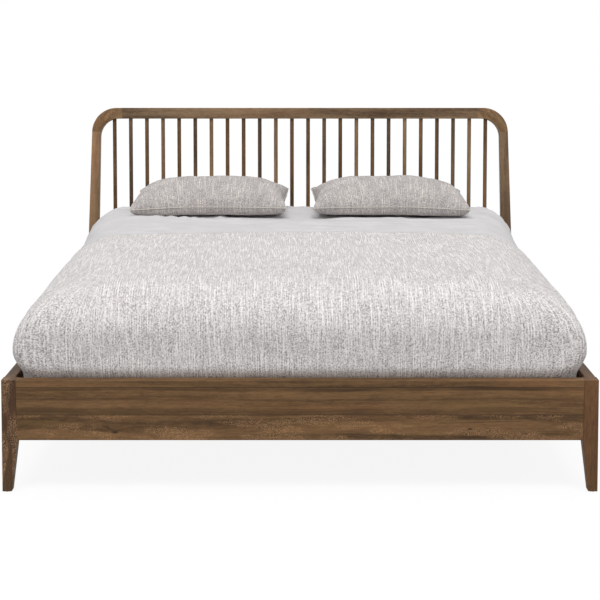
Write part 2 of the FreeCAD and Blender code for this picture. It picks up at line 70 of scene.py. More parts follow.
def srgb(red, green, blue):
    """Linear colour from the 0 to 255 values that a colour picker shows."""
    def linear(channel):
        share = channel / 255
        return share / 12.92 if share <= 0.04045 else ((share + 0.055) / 1.055) ** 2.4

    return (linear(red), linear(green), linear(blue), 1.0)


# ---- shader kit ----
class Value:
    """A socket of a material. Arithmetic on it adds Math nodes."""

    def __init__(self, paint, socket):
        self.paint, self.socket = paint, socket

    def math(self, operation, *others):
        return self.paint.node("ShaderNodeMath", {"operation": operation}, (self, *others))

    def __add__(self, other):
        return self.math("ADD", other)

    def __sub__(self, other):
        return self.math("SUBTRACT", other)

    def __mul__(self, other):
        return self.math("MULTIPLY", other)

    def __truediv__(self, other):
        return self.math("DIVIDE", other)

    def __rsub__(self, other):
        return self.paint.node("ShaderNodeMath", {"operation": "SUBTRACT"}, (other, self))

    def __pow__(self, other):
        return self.math("POWER", other)

    def __gt__(self, other):
        return self.math("GREATER_THAN", other)

    __radd__ = __add__
    __rmul__ = __mul__

    def ramp(self, low, high):
        """0 below low and 1 above high, with a smooth run between."""
        settings = {"interpolation_type": "SMOOTHSTEP"}
        return self.paint.node("ShaderNodeMapRange", settings, (self, low, high, 0.0, 1.0))


class Nodes:
    """The nodes of a material or a world. node() adds every one of them."""

    def __init__(self, owner):
        owner.use_nodes = True
        self.tree = owner.node_tree
        self.tree.nodes.clear()

    def node(self, kind, settings=None, inputs=(), output=0):
        made = self.tree.nodes.new(kind)
        for key, value in (settings or {}).items():
            setattr(made, key, value)
        places = inputs.items() if isinstance(inputs, dict) else enumerate(inputs)
        for place, value in places:
            if isinstance(value, Value):
                self.tree.links.new(value.socket, made.inputs[place])
            else:
                made.inputs[place].default_value = value
        return Value(self, made.outputs[output]) if made.outputs else None

    def straight_ray(self):
        """1 for a ray that sees the white background as it is, and 0 for any other."""
        rays = [
            self.node("ShaderNodeLightPath", output=name)
            for name in ("Is Camera Ray", "Is Glossy Ray", "Is Transmission Ray")
        ]
        return (rays[0] + rays[1] + rays[2]).math("MINIMUM", 1.0)


class Paint(Nodes):
    """A material with one Principled shader."""

    def __init__(self, name, **fixed):
        self.material = bpy.data.materials.new(name)
        super().__init__(self.material)
        self.lit = self.node("ShaderNodeBsdfPrincipled")
        self.shader = self.lit.socket.node
        for socket, value in fixed.items():
            self.shader.inputs[socket.replace("_", " ")].default_value = value

    def finish(self, look=None):
        """Shows the shader, or another look made from it, on the surface."""
        self.node("ShaderNodeOutputMaterial", None, (look or self.lit,))
        return self.material

    def object_place(self):
        """The point's place in the bed's own frame, as three values."""
        place = self.node("ShaderNodeTexCoord", output="Object")
        return [self.node("ShaderNodeSeparateXYZ", None, (place,), i) for i in range(3)]

    def cloth_place(self):
        """The point's place in the flat cloth, across and along, in metres."""
        place = self.node("ShaderNodeUVMap", {"uv_map": "cloth"})
        return [self.node("ShaderNodeSeparateXYZ", None, (place,), i) for i in range(2)]

    def vector(self, x, y, z=0.0):
        return self.node("ShaderNodeCombineXYZ", None, (x, y, z))

    def noise(self, place, detail=2.0, roughness=0.5):
        inputs = {"Vector": place, "Scale": 1.0, "Detail": detail, "Roughness": roughness}
        return self.node("ShaderNodeTexNoise", {"noise_dimensions": "3D"}, inputs)

    def mix(self, share, a, b):
        settings = {"data_type": "RGBA", "clamp_factor": True}
        return self.node("ShaderNodeMix", settings, {0: share, 6: a, 7: b}, 2)

    def bump(self, height, depth, strength=1.0):
        inputs = {"Strength": strength, "Distance": depth, "Height": height}
        self.set("Normal", self.node("ShaderNodeBump", None, inputs))

    def set(self, socket, value):
        self.tree.links.new(value.socket, self.shader.inputs[socket])


# ---- wood ----
GRAIN_AXES = {"X": (0, 2, 1), "Y": (1, 2, 0), "Z": (2, 0, 1)}


def wood(
    name, grain, light, dark, boards=(), knots=(), hearts=(),
    seed=0.0, turn=0.0, fleck=0.0, fleck_top=9.0, fade=None,
):
    """Oiled wood with its grain along one axis.

    boards are glue lines (across, change of tone above). knots are (along, across, size). hearts are
    dark streaks (across, half width, strength). turn leans the grain. fleck is the strength of the pale
    figure below fleck_top. fade is painted shade, (low, high, share) along the grain, darker below low."""
    paint = Paint(name, Specular_IOR_Level=0.28)
    place = paint.object_place()
    along, across, depth = [place[i] for i in GRAIN_AXES[grain]]
    if turn:
        cos, sin = math.cos(turn), math.sin(turn)
        along, across = along * cos + across * sin, across * cos - along * sin
    board, plank, glue = 0.0, 0.0, 0.0
    for edge, change in boards:
        above = across > edge
        board = above + board
        plank = above * change + plank
        glue = (1 - (across - edge).math("ABSOLUTE").ramp(0.0006, 0.0022)) + glue
    shift = board * 3.71 + seed if boards else seed  # each board is cut from another place
    ring, knot = across, 0.0
    for knot_along, knot_across, size in knots:
        off_along = (along - knot_along) * (0.4 / size)
        off_across = (across - knot_across) * (1 / size)
        reach = (off_along * off_along + off_across * off_across).math("SQRT")
        ring = ring + off_across * (1 - reach.ramp(0.6, 4.0)) * (size * 1.2)
        knot = (1 - reach.ramp(0.30, 0.95)) + knot

    def figure(long, fine, detail=2.0, roughness=0.5, lie=ring, offset=0.0):
        """Noise stretched along the grain. long and fine are its marks per metre along and across."""
        place = lie * fine + offset if offset else lie * fine
        return paint.noise(paint.vector(along * long + shift, place, depth * fine), detail, roughness)

    wander = figure(1.5, 6.0, 3.0)
    flow = ring + wander * 0.065
    bands = figure(0.8, 24.0, 2.0, 0.55, flow)
    lines = figure(3.6, 130.0, 3.0, 0.6, flow)
    fibre = figure(11.0, 800.0, 2.0, 0.6)
    pores = figure(26.0, 1300.0, 1.0).ramp(0.58, 0.70)
    ripple = figure(40.0, 135.0, 3.0, 0.65)
    blotch = figure(6.0, 16.0, 3.0, 0.6)
    tone = bands.ramp(0.32, 0.68) * 0.68 + lines.ramp(0.30, 0.70) * 0.20 + (blotch - 0.5) * 0.70
    tone = tone + (fibre - 0.5) * 0.45 + (ripple - 0.5) + 0.06
    if boards:
        tone = tone + plank
    colour = paint.mix(tone, dark, light)
    warm = figure(1.6, 13.0, offset=4.0)
    red = [light[0] * 0.98, light[1] * 0.82, light[2] * 0.74, 1.0]
    olive = [light[0] * 0.72, light[1] * 0.80, light[2] * 0.62, 1.0]
    colour = paint.mix(warm.ramp(0.54, 0.74) * 0.35, colour, red)
    colour = paint.mix((1 - warm.ramp(0.26, 0.46)) * 0.45, colour, olive)
    deep = [channel * 0.30 for channel in dark[:3]] + [1.0]
    streak = figure(1.5, 62.0, 3.0, 0.6, flow, 9.0)
    colour = paint.mix(streak.ramp(0.58, 0.76) * 0.52, colour, deep)
    colour = paint.mix(pores * 0.45, colour, deep)
    if fleck:
        rays = figure(160.0, 230.0, 2.0, 0.6)
        zone = figure(6.0, 24.0).ramp(0.45, 0.57)
        bright = [channel * 3.0 + 0.06 for channel in light[:3]] + [1.0]
        dashes_seen = (1 - (rays - 0.5).math("ABSOLUTE").ramp(0.012, 0.042)) * zone
        colour = paint.mix(dashes_seen * (1 - (across > fleck_top)) * fleck, colour, bright)
    for heart_across, half_width, strength in hearts:
        off = (ring + (wander - 0.5) * 0.030 - heart_across).math("ABSOLUTE")
        patch = paint.noise(paint.vector(along * 2.6 + heart_across * 50.0, 0.0), 3.0, 0.6)
        band = (1 - off.ramp(half_width * 0.2, half_width)) * (patch.ramp(0.34, 0.62) * 0.75 + 0.25)
        colour = paint.mix(band * strength, colour, dark)
    if knots:
        colour = paint.mix(knot * 0.85, colour, deep)
    if boards:
        colour = paint.mix(glue * 0.6, colour, deep)
    # painted shade: darker below low along the grain, for the light the bedding keeps off
    if fade:
        low, high, share = fade
        colour = paint.mix((1 - along.ramp(low, high)) * share, colour, dark)
    paint.set("Base Color", colour)
    paint.set("Roughness", 0.50 + fibre * 0.16)
    paint.bump(fibre * 0.6 + lines * 0.4 - pores * 0.8, 0.0004, 0.6)
    return paint.finish()


# ---- cloth finishes ----
thread_across, thread_along = 0.0023, 0.0027  # the coarse weave's crossings
rib_pitch = 0.0078
yarn_pitch = 0.0030


def slub_weave(name, ground, shade, fleck, size=1.0, patchy=0.15):
    """Coarse weave with cream slubs that run along the cloth.

    size enlarges its threads, and patchy is how much its tone changes from patch to patch."""
    paint = Paint(name, Roughness=0.92, Specular_IOR_Level=0.2, Sheen_Weight=0.12)
    across, along = [place / size for place in paint.cloth_place()]
    cloud = paint.noise(paint.vector(across * 7.0, along * 5.0), 2.0, 0.6)
    stagger = across * 97.0  # so that the ends of neighbouring slubs don't line up
    thread = paint.noise(paint.vector(across * 215.0, along * 9.0 + stagger, 5.0), 2.0)
    slub = paint.noise(paint.vector(across * 300.0, along * 26.0 + stagger, 3.0), 2.0, 0.6)
    crossing = paint.vector((across / thread_across).math("FLOOR"), (along / thread_along).math("FLOOR"))
    grit = paint.node("ShaderNodeTexWhiteNoise", {"noise_dimensions": "3D"}, (crossing,))
    patch = paint.noise(paint.vector(across * 14.0, along * 16.0, 23.0), 2.0, 0.6)
    rib = ((across + cloud * 0.002) * (2 * math.pi / rib_pitch)).math("SINE")
    line = (thread.ramp(0.48, 0.66) - 0.28) * (slub.ramp(0.30, 0.56) * 0.6 + 0.6)
    tone = (grit - 0.5) * 1.4 + (slub - 0.5) * 0.45 + (0.5 - cloud) * 0.35 + (patch - 0.5) * patchy
    tone = tone + line * 0.58 + rib * patch.ramp(0.46, 0.60) * 0.22 + 0.02
    paint.set("Base Color", paint.mix(tone, paint.mix(0 - tone, ground, shade), fleck))
    turns = 2 * math.pi / yarn_pitch
    weave = (along * turns).math("SINE") * (across * turns).math("SINE")
    paint.bump(tone * 0.4 + weave * 0.25, 0.0008, 0.7)
    return paint.finish()


def plain_weave(name, ground, shade, pitch=0.0011):
    """Fine cotton with a faint thread pattern."""
    paint = Paint(name, Roughness=0.86, Specular_IOR_Level=0.22, Sheen_Weight=0.1)
    across, along = paint.cloth_place()
    cloud = paint.noise(paint.vector(across * 9.0, along * 9.0), 3.0)
    thread = paint.noise(paint.vector(across * 900.0, along * 90.0), 1.0)
    pick = paint.noise(paint.vector(across * 90.0, along * 900.0, 5.0), 1.0)
    colour = paint.mix(cloud.ramp(0.3, 0.7) * 0.35 + thread * 0.25 + pick * 0.25, ground, shade)
    paint.set("Base Color", colour)
    turns = 2 * math.pi / pitch
    weave = (along * turns).math("SINE") * (across * turns).math("SINE")
    paint.bump(weave * 0.3 + thread * 0.5 + pick * 0.5, 0.0003, 0.5)
    return paint.finish()


def ticking(name, ground, shade):
    """Knitted mattress cover, quilted in diamonds, with painted shade in the quilting's grooves."""
    paint = Paint(name, Roughness=0.9, Specular_IOR_Level=0.2, Sheen_Weight=0.1)
    x, y, z = paint.object_place()
    slope = 2 * math.pi / 0.16  # two rows of diamonds
    ridge = ((x + y) * slope).math("SINE") * ((x - y) * slope).math("SINE")
    knit = paint.noise(paint.vector(x * 500.0, y * 260.0, z * 260.0), 1.0)
    quilt = ridge.math("ABSOLUTE") ** 0.5
    # painted shade: the colour darkens into the quilting's grooves, with the same mask as the bump
    colour = paint.mix((1 - quilt) * 0.5 + knit * 0.3, ground, shade)
    paint.set("Base Color", colour)
    paint.bump(quilt + knit * 0.06, 0.004, 0.6)
    return paint.finish()


def webbing(name):
    """Black woven tape."""
    paint = Paint(name, Roughness=0.85, Specular_IOR_Level=0.25)
    x, y = paint.object_place()[:2]
    rib = (y * (2 * math.pi / 0.0022)).math("SINE")
    edge = (x * (2 * math.pi / 0.0016)).math("SINE")
    colour = paint.mix(rib * 0.25 + 0.4 + edge * 0.1, srgb(24, 24, 25), srgb(62, 61, 60))
    paint.set("Base Color", colour)
    paint.bump(rib * 0.6 + edge * 0.4, 0.0005, 0.7)
    return paint.finish()


# ---- hard finishes ----
def plated(name, colour, dull, metallic=1.0):
    """Plated or turned metal with fine scratches and a little tarnish."""
    paint = Paint(name, Metallic=metallic)
    x, y, z = paint.object_place()
    cloud = paint.noise(paint.vector(x * 60.0, y * 60.0, z * 60.0), 3.0, 0.6)
    scratch = paint.noise(paint.vector(x * 900.0, y * 120.0, z * 900.0), 2.0)
    paint.set("Base Color", paint.mix(cloud.ramp(0.45, 0.75) * 0.6, colour, dull))
    paint.set("Roughness", 0.30 + cloud * 0.2 + scratch * 0.1)
    paint.bump(scratch, 0.0001, 0.4)
    return paint.finish()


def moulded(name, colour):
    """Moulded plastic, a little worn."""
    paint = Paint(name, Specular_IOR_Level=0.4)
    x, y, z = paint.object_place()
    grain = paint.noise(paint.vector(x * 1400.0, y * 1400.0, z * 1400.0), 2.0)
    wear = paint.noise(paint.vector(x * 90.0, y * 90.0, z * 90.0), 3.0)
    paint.set("Base Color", paint.mix(wear.ramp(0.5, 0.8) * 0.5, colour, srgb(70, 68, 66)))
    paint.set("Roughness", 0.5 + grain * 0.2)
    paint.bump(grain, 0.0002, 0.5)
    return paint.finish()


# ---- which node gets which finish ----
WALNUT_LIGHT = srgb(129, 96, 62)
WALNUT_DARK = srgb(66, 45, 23)
POST_LIGHT = srgb(170, 136, 102)
POST_DARK = srgb(118, 90, 64)
BRANCH_LIGHT = srgb(140, 114, 86)
BRANCH_DARK = srgb(86, 65, 46)
LEG_LIGHT = srgb(98, 71, 44)
LEG_DARK = srgb(62, 39, 24)
RIGHT_LEG_LIGHT = srgb(113, 78, 47)
TOP_RAIL_LIGHT = srgb(160, 132, 102)
CORNER_LIGHT = srgb(150, 118, 84)
CORNER_DARK = srgb(84, 60, 38)
PINE_LIGHT = srgb(214, 184, 142)
PINE_DARK = srgb(170, 132, 90)

rail_glue = ((rail_top - 0.1135, 0.05), (rail_top - 0.0245, 0.0))
rail_hearts = (
    (rail_top - 0.101, 0.017, 0.65), (rail_top - 0.030, 0.008, 0.95), (rail_top - 0.062, 0.006, 0.5)
)
rail_knots = ((-0.589, rail_bottom + 0.027, 0.006), (0.541, rail_bottom + 0.037, 0.005))
post_painted_shade = (0.60, 0.95, 0.5)  # painted shade: the posts are darker below the pillows' height, where the bedding keeps light off them
spindle_order = (1, 2, 1, 0, 1, 2, 0, 1, 1, 2, 0, 1)  # which of the three spindle woods comes next


def dress(material, *names):
    """Gives CAD nodes their finish."""
    for name in names:
        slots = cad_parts[name].data.materials
        slots.clear()
        slots.append(material)


def dress_sides():
    """The pieces that stand in pairs. Each side is cut from wood of its own tone, as in the photo."""
    sides = (
        ("left", 2.0, 1, POST_LIGHT, POST_DARK, LEG_LIGHT, 1.0),
        ("right", 3.4, -1, BRANCH_LIGHT, BRANCH_DARK, RIGHT_LEG_LIGHT, 0.12),
    )
    for side, seed, way, post_light, post_dark, leg_light, leg_fleck in sides:
        dress(
            wood(f"side rail wood {side}", "Y", WALNUT_LIGHT, WALNUT_DARK, rail_glue, seed=seed),
            f"side_rail_{side}",
        )
        dress(
            wood(f"leg wood {side}", "Z", leg_light, LEG_DARK, seed=seed + 1, fleck=leg_fleck),
            f"foot_leg_{side}",
        )
        dress(
            wood(f"post wood {side}", "Z", post_light, post_dark, seed=seed + 2, fade=post_painted_shade),
            f"headboard_post_{side}",
        )
        leaning = wood(
            f"corner wood {side}", "X", CORNER_LIGHT, CORNER_DARK,
            seed=seed, turn=way * math.radians(45), fleck=0.35,
        )
        dress(leaning, f"headboard_corner_{side}")
        dress(wood(f"ledge wood {side}", "Y", PINE_LIGHT, PINE_DARK, seed=seed + 3), f"slat_ledge_{side}")


def dress_frame():
    foot_rail_wood = wood(
        "rail wood", "X", WALNUT_LIGHT, WALNUT_DARK, rail_glue, rail_knots, rail_hearts,
        seed=1.0, fleck=0.42, fleck_top=rail_glue[0][0],
    )
    dress(foot_rail_wood, "foot_rail")
    dress(wood("head rail wood", "X", WALNUT_LIGHT, WALNUT_DARK, rail_glue, seed=5.0), "head_rail")
    dress(wood("top rail wood", "X", TOP_RAIL_LIGHT, BRANCH_DARK, seed=8.0), "headboard_top_rail")
    dress_sides()
    spindle_woods = [
        wood("spindle wood light", "Z", srgb(158, 126, 92), srgb(104, 78, 54), seed=11.0),
        wood("spindle wood mid", "Z", WALNUT_LIGHT, WALNUT_DARK, seed=12.3),
        wood("spindle wood dark", "Z", srgb(118, 92, 68), srgb(62, 46, 33), seed=13.1),
    ]
    spindles = sorted(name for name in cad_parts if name.startswith("spindle_"))
    for number, name in enumerate(spindles):
        dress(spindle_woods[spindle_order[number % len(spindle_order)]], name)
    hidden_woods = (
        ("slat wood", "X", 21.0, ["slats"]),
        ("beam wood", "Y", 22.0, ["centre_beam"]),
        ("centre leg wood", "Z", 23.0, ["centre_leg_foot", "centre_leg_head"]),
        ("dowel wood", "Y", 24.0, ["rail_dowels"]),
        ("tenon wood", "X", 25.0, ["headboard_tenons"]),
    )
    for name, grain, seed, pieces in hidden_woods:
        dress(wood(name, grain, PINE_LIGHT, PINE_DARK, seed=seed), *pieces)
    dress(
        plated("zinc plate", srgb(196, 196, 192), srgb(128, 126, 120)),
        "beam_hangers", "corner_plates", "corner_bolts", "centre_leg_studs",
        "leveller_stem_foot", "leveller_stem_head",
    )
    dress(plated("turned brass", srgb(206, 174, 104), srgb(130, 98, 56)), "thread_inserts")
    dress(moulded("black plastic", srgb(30, 30, 31)), "leveller_pad_foot", "leveller_pad_head", "leg_glides")
    dress(webbing("strap webbing"), "slat_straps")


# ---- the mattress's round shape, which the cloth follows ----
class Shoulder:
    """Half outline of the made bed, from its flat top over a round shoulder down into the frame."""

    def __init__(self, start, face, top, round_out, round_down, tuck_in, tuck=(0.05, 0.75)):
        """start is where the flat top ends, and face is the furthest place out. The last of the outline
        comes in by tuck_in, between the two shares of its way down that tuck gives."""
        steps = 24
        points = [Vector((start, top))]
        centre = Vector((face - round_out, top - round_down))
        for step in range(steps + 1):
            turn = math.pi / 2 * step / steps
            points.append(centre + Vector((round_out * math.sin(turn), round_down * math.cos(turn))))
        drop = centre.y - tuck_z
        for step in range(1, steps + 1):
            share = step / steps
            inward = tuck_in * smooth_step(*tuck, share)
            points.append(Vector((face - inward, centre.y - drop * share)))
        self.points = points
        self.lengths = [0.0]
        for before, after in zip(points, points[1:]):
            self.lengths.append(self.lengths[-1] + (after - before).length)

    def at(self, share):
        """Point at a share of the outline's length."""
        target = clamp(share) * self.lengths[-1]
        for i in range(1, len(self.points)):
            if self.lengths[i] >= target:
                span = max(self.lengths[i] - self.lengths[i - 1], 1e-9)
                return self.points[i - 1].lerp(self.points[i], (target - self.lengths[i - 1]) / span)
        return self.points[-1].copy()


flat_half = 0.640  # the cloth's flat top reaches this far across
foot_flat_y = front_y + 0.235
head_flat_y = head_end_y - 0.060
side_drop = 0.525  # cloth past the flat top, at the sides
end_drop = 0.450  # and past the foot
tuck_z = rail_top - 0.030
tucked_half = 0.895  # half width of the cloth where it goes down between the rails
shape_steps = 40
top_at_foot = 0.657  # height of the made bed's flat top
foot_rise, head_rise = 0.0170, 0.0140  # its rise over the first metre and over the next one
top_at_head = top_at_foot + foot_rise + head_rise
foot_face, head_face = 0.924, 0.912  # half width of the made bed
# how far the shoulder is rounded, out and down, at the foot, past the middle and at the head
foot_round, middle_round, head_round = (0.270, 0.212), (0.222, 0.188), (0.140, 0.130)
middle_run, head_run = (0.1, 1.5), (1.40, 1.95)  # where one turns into the next, from the foot
corner_power = (2.2, 7.5)  # how square the foot corners are, at the top and lower down
corner_run = (0.12, 0.56)  # where one turns into the other, as a share of the way down


def side_shoulder(y):
    """The outline across the bed at one place along it: softer and lower towards the foot."""
    place = y - front_y
    middle, head = smooth_step(*middle_run, place), smooth_step(*head_run, place)
    face = mix(foot_face, head_face, middle)
    top = top_at_foot + foot_rise * clamp(place) + head_rise * clamp(place - 1.0)
    out, down = [
        mix(mix(at_foot, at_middle, middle), at_head, head)
        for at_foot, at_middle, at_head in zip(foot_round, middle_round, head_round)
    ]
    return Shoulder(flat_half, face, top, out, down, face - tucked_half)


side_shapes = [
    side_shoulder(mix(front_y, head_end_y, step / shape_steps)) for step in range(shape_steps + 1)
]
foot_shape = Shoulder(
    0.0, face=0.203, top=top_at_foot, round_out=0.185, round_down=0.155, tuck_in=0.024, tuck=(0.62, 1.0)
)
head_shape = Shoulder(0.0, face=0.058, top=top_at_head, round_out=0.050, round_down=0.050, tuck_in=0.004)


def side_at(y, share):
    """Point of the outline across the bed, between the two worked out nearest to y."""
    place = clamp((y - front_y) / (head_end_y - front_y)) * shape_steps
    low = min(int(place), shape_steps - 1)
    return side_shapes[low].at(share).lerp(side_shapes[low + 1].at(share), place - low)


def drape(across, along):
    """Place on the made bed of a point of the flat cloth, measured from the middle of its top.

    across runs to the right; along is a place on the bed's length while the cloth is flat."""
    over_side = max(0.0, abs(across) - flat_half) / side_drop
    over_foot = max(0.0, foot_flat_y - along) / end_drop
    over_head = max(0.0, along - head_flat_y) / end_drop
    over_end = max(over_foot, over_head)
    way = -1 if over_foot > 0 else 1
    end_shape = foot_shape if over_foot > 0 else head_shape
    end_y = foot_flat_y if over_foot > 0 else head_flat_y
    right = math.copysign(1, across)
    if over_side == 0 and over_end == 0:
        return Vector((across, along, side_at(along, 0.0).y))
    if over_end == 0:
        point = side_at(along, over_side)
        return Vector((right * point.x, along, point.y))
    if over_side == 0:
        point = end_shape.at(over_end)
        return Vector((across, end_y + way * point.x, point.y))
    reach = max(over_side, over_end)
    turn = math.pi / 4 * over_end / over_side
    if over_end >= over_side:
        turn = math.pi / 2 - math.pi / 4 * over_side / over_end
    power = mix(*corner_power, smooth_step(*corner_run, reach))
    square = (math.cos(turn) ** power + math.sin(turn) ** power) ** (-1 / power)
    side, end = side_at(end_y, reach), end_shape.at(reach)
    x = flat_half + (side.x - flat_half) * math.cos(turn) * square
    y = end_y + way * end.x * math.sin(turn) * square
    return Vector((right * x, y, mix(side.y, end.y, math.sin(turn) ** 2)))


def ripple(point, scale, seed):
    """Smooth noise from -1 to 1."""
    return noise.noise(point / scale + Vector((seed, seed * 1.7, seed * 0.3)))


def new_piece(name, form, material, smooth=True):
    """Object at the origin from a bmesh, which it frees."""
    mesh = bpy.data.meshes.new(name)
    form.to_mesh(mesh)
    form.free()
    mesh.materials.append(material)
    mesh.polygons.foreach_set("use_smooth", [smooth] * len(mesh.polygons))
    piece = bpy.data.objects.new(name, mesh)
    bpy.context.scene.collection.objects.link(piece)
    return piece


def walk(edges):
    """Places of the points round a closed chain of edges, in order."""
    left = set(edges)
    vert = edges[0].verts[0]
    order = []
    while left:
        edge = next(item for item in vert.link_edges if item in left)
        order.append(vert.co.copy())
        left.remove(edge)
        vert = edge.other_vert(vert)
    return order


def cord(name, paths, radius, material, closed=False):
    """Round cords along paths, as one piece."""
    curve = bpy.data.curves.new(name, "CURVE")
    curve.dimensions = "3D"
    curve.bevel_depth = radius
    curve.bevel_resolution = 1
    curve.use_fill_caps = not closed
    for path in paths:
        spline = curve.splines.new("POLY")
        spline.points.add(len(path) - 1)
        for point, place in zip(spline.points, path):
            point.co = (*place, 1.0)
        spline.use_cyclic_u = closed
    holder = bpy.data.objects.new(name, curve)
    form = bmesh.new()
    form.from_mesh(holder.to_mesh())
    holder.to_mesh_clear()
    bpy.data.objects.remove(holder)
    bpy.data.curves.remove(curve)
    return new_piece(name, form, material)


def flat_cloth(low, high, step):
    """Flat grid of cloth between two (across, along) corners, with its own places as a UV map."""
    form = bmesh.new()
    across_steps = round((high[0] - low[0]) / step)
    along_steps = round((high[1] - low[1]) / step)
    bmesh.ops.create_grid(form, x_segments=across_steps, y_segments=along_steps, size=0.5)
    middle = Vector(((low[0] + high[0]) / 2, (low[1] + high[1]) / 2, 0))
    size = Vector((high[0] - low[0], high[1] - low[1], 1))
    bmesh.ops.transform(
        form, matrix=Matrix.Translation(middle) @ Matrix.Diagonal(size).to_4x4(), verts=form.verts
    )
    return form


def settle(form, wrinkle, slip=lambda flat: 0.0):
    """Drapes a flat cloth over the bed, then moves each point out along the surface by its wrinkles.

    slip says how far a point has slid towards the foot."""
    flat = [vert.co.copy() for vert in form.verts]
    for vert in form.verts:
        vert.co = drape(vert.co.x, vert.co.y - slip(vert.co))
    form.normal_update()
    normals = [vert.normal.copy() for vert in form.verts]
    for vert, place, normal in zip(form.verts, flat, normals):
        vert.co += normal * wrinkle(place, vert.co)
    return flat


def corner_fold(over_side):
    """Where the side's cloth folds over the foot's cloth, as a share past the foot."""
    return 0.10 - 0.10 * over_side


def lay_pattern(form, flat):
    """UV map of the weave. Past the foot the cloth hangs straight down round the corners, to a fold."""
    layer = form.loops.layers.uv.new("cloth")
    form.verts.ensure_lookup_table()
    for face in form.faces:
        middle = sum((flat[vert.index] for vert in face.verts), Vector()) / len(face.verts)
        over_side = max(0.0, abs(middle.x) - flat_half) / side_drop
        over_foot = max(0.0, foot_flat_y - middle.y) / end_drop
        wrapped = over_side > 0 and over_foot > corner_fold(over_side)
        for loop in face.loops:
            place = flat[loop.vert.index]
            u, v = place.x, place.y
            if wrapped:
                corner = loop.vert.co
                sweep = math.atan2(abs(corner.x) - flat_half, max(foot_flat_y - corner.y, 1e-4))
                drop = max(abs(u) - flat_half, (foot_flat_y - v) * side_drop / end_drop)
                u = math.copysign(flat_half + sweep * 0.2, u)
                v = foot_flat_y - drop
            loop[layer].uv = (u, v)


# ---- bedding ----
cloth_step = 0.010
cloth_half = flat_half + side_drop  # half the width of the flat cloth
fold_height = 0.0035
hem_depth = 0.028
hem_stitch_line = hem_y - 0.022
stitch_length, stitch_pitch = 0.005, 0.008
stitch_radius, stitch_lift = 0.0006, 0.0004
coverlet_thickness, sheet_thickness = 0.004, 0.0015
under_hem = 0.12  # how far the sheet is made on under the coverlet
under_cloth = 0.014  # from the made bed's outline in to the mattress


def coverlet_wrinkle(flat, point):
    """How far the coverlet stands off its smooth shape."""
    low = smooth_step(rail_top, rail_top + 0.10, point.z)
    broad = ripple(point, 0.42, 3.0) * 0.0045 + ripple(point, 0.17, 8.0) * 0.0016
    down = ripple(Vector((point.x, 0, point.z * 0.25)), 0.11, 5.0) * 0.0016
    hem = smooth_step(hem_y - hem_depth - 0.002, hem_y - hem_depth + 0.002, flat.y) * 0.0010
    edge = smooth_step(hem_y - 0.12, hem_y, flat.y)
    wave = (ripple(Vector((point.x, 0, 0)), 0.16, 12.0) * 0.0015 - 0.0012) * edge
    over_side = max(0.0, abs(flat.x) - flat_half) / side_drop
    over_foot = max(0.0, foot_flat_y - flat.y) / end_drop
    fold = 0.0
    if over_side > 0.3:
        past = (corner_fold(over_side) - over_foot) * end_drop
        near = smooth_step(-0.004, 0.004, past) * (1 - smooth_step(0.01, 0.22, past))
        fold = near * fold_height * smooth_step(0.3, 0.5, over_side)
    return (broad + down) * low + hem + wave + fold


def hem_bow(flat):
    """The hem lies nearer the foot at the sides than in the middle."""
    return 0.060 * clamp(abs(flat.x) / 0.7) ** 2 * smooth_step(hem_y - 0.6, hem_y, flat.y)


def finish_cloth(piece, thickness):
    """Thickness, inwards from the modelled face."""
    shell = piece.modifiers.new("thickness", "SOLIDIFY")
    shell.thickness = thickness
    shell.offset = -1
    shell.use_even_offset = False


def dashes(path, length, pitch):
    """Short straight pieces along a path."""
    made, travelled, due = [], 0.0, 0.0
    for before, after in zip(path, path[1:]):
        span = (after - before).length
        while due + length < travelled + span:
            start = clamp((due - travelled) / span)
            made.append([before.lerp(after, start), before.lerp(after, (due + length - travelled) / span)])
            due += pitch
        travelled += span
    return made


def coverlet(material, thread):
    low, high = (-cloth_half, foot_flat_y - end_drop), (cloth_half, hem_y)
    form = flat_cloth(low, high, cloth_step)
    flat = settle(form, coverlet_wrinkle, hem_bow)
    lay_pattern(form, flat)
    row = min(abs(place.y - hem_stitch_line) for place in flat)
    hem_row = sorted(
        (place.x, tuple(vert.co + vert.normal * stitch_lift))
        for place, vert in zip(flat, form.verts) if abs(abs(place.y - hem_stitch_line) - row) < 1e-6
    )
    hem_path = [Vector(place) for _, place in hem_row]
    piece = new_piece("coverlet_cloth", form, material)
    finish_cloth(piece, coverlet_thickness)
    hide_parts("coverlet")
    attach(piece, "mattress_set")
    stitch_paths = dashes(hem_path, stitch_length, stitch_pitch)
    stitches = cord("coverlet_stitches", stitch_paths, stitch_radius, thread)
    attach(stitches, "mattress_set")


def sheet_wrinkle(flat, point):
    """Soft creases across the bed, near the pillows and out to the sides."""
    low = smooth_step(rail_top, rail_top + 0.12, point.z)
    broad = ripple(point, 0.35, 21.0) * 0.0035
    skew = Vector((point.x * 0.22, point.y + point.x * 0.10, 0))
    crease = ripple(skew, 0.055, 25.0) * 0.0070 + ripple(skew, 0.024, 31.0) * 0.0042
    crease += max(0.0, 0.12 - abs(ripple(skew, 0.075, 41.0))) * 0.065
    crease = max(crease, -0.001) * smooth_step(hem_y - 0.01, hem_y + 0.05, point.y)
    return (broad + crease) * low - 0.0048


def fitted_sheet(material):
    low, high = (-cloth_half, hem_y - under_hem), (cloth_half, head_flat_y + end_drop)
    form = flat_cloth(low, high, cloth_step)
    flat = settle(form, sheet_wrinkle)
    lay_pattern(form, flat)
    piece = new_piece("fitted_sheet_cloth", form, material)
    finish_cloth(piece, sheet_thickness)
    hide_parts("fitted_sheet")
    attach(piece, "mattress_set")


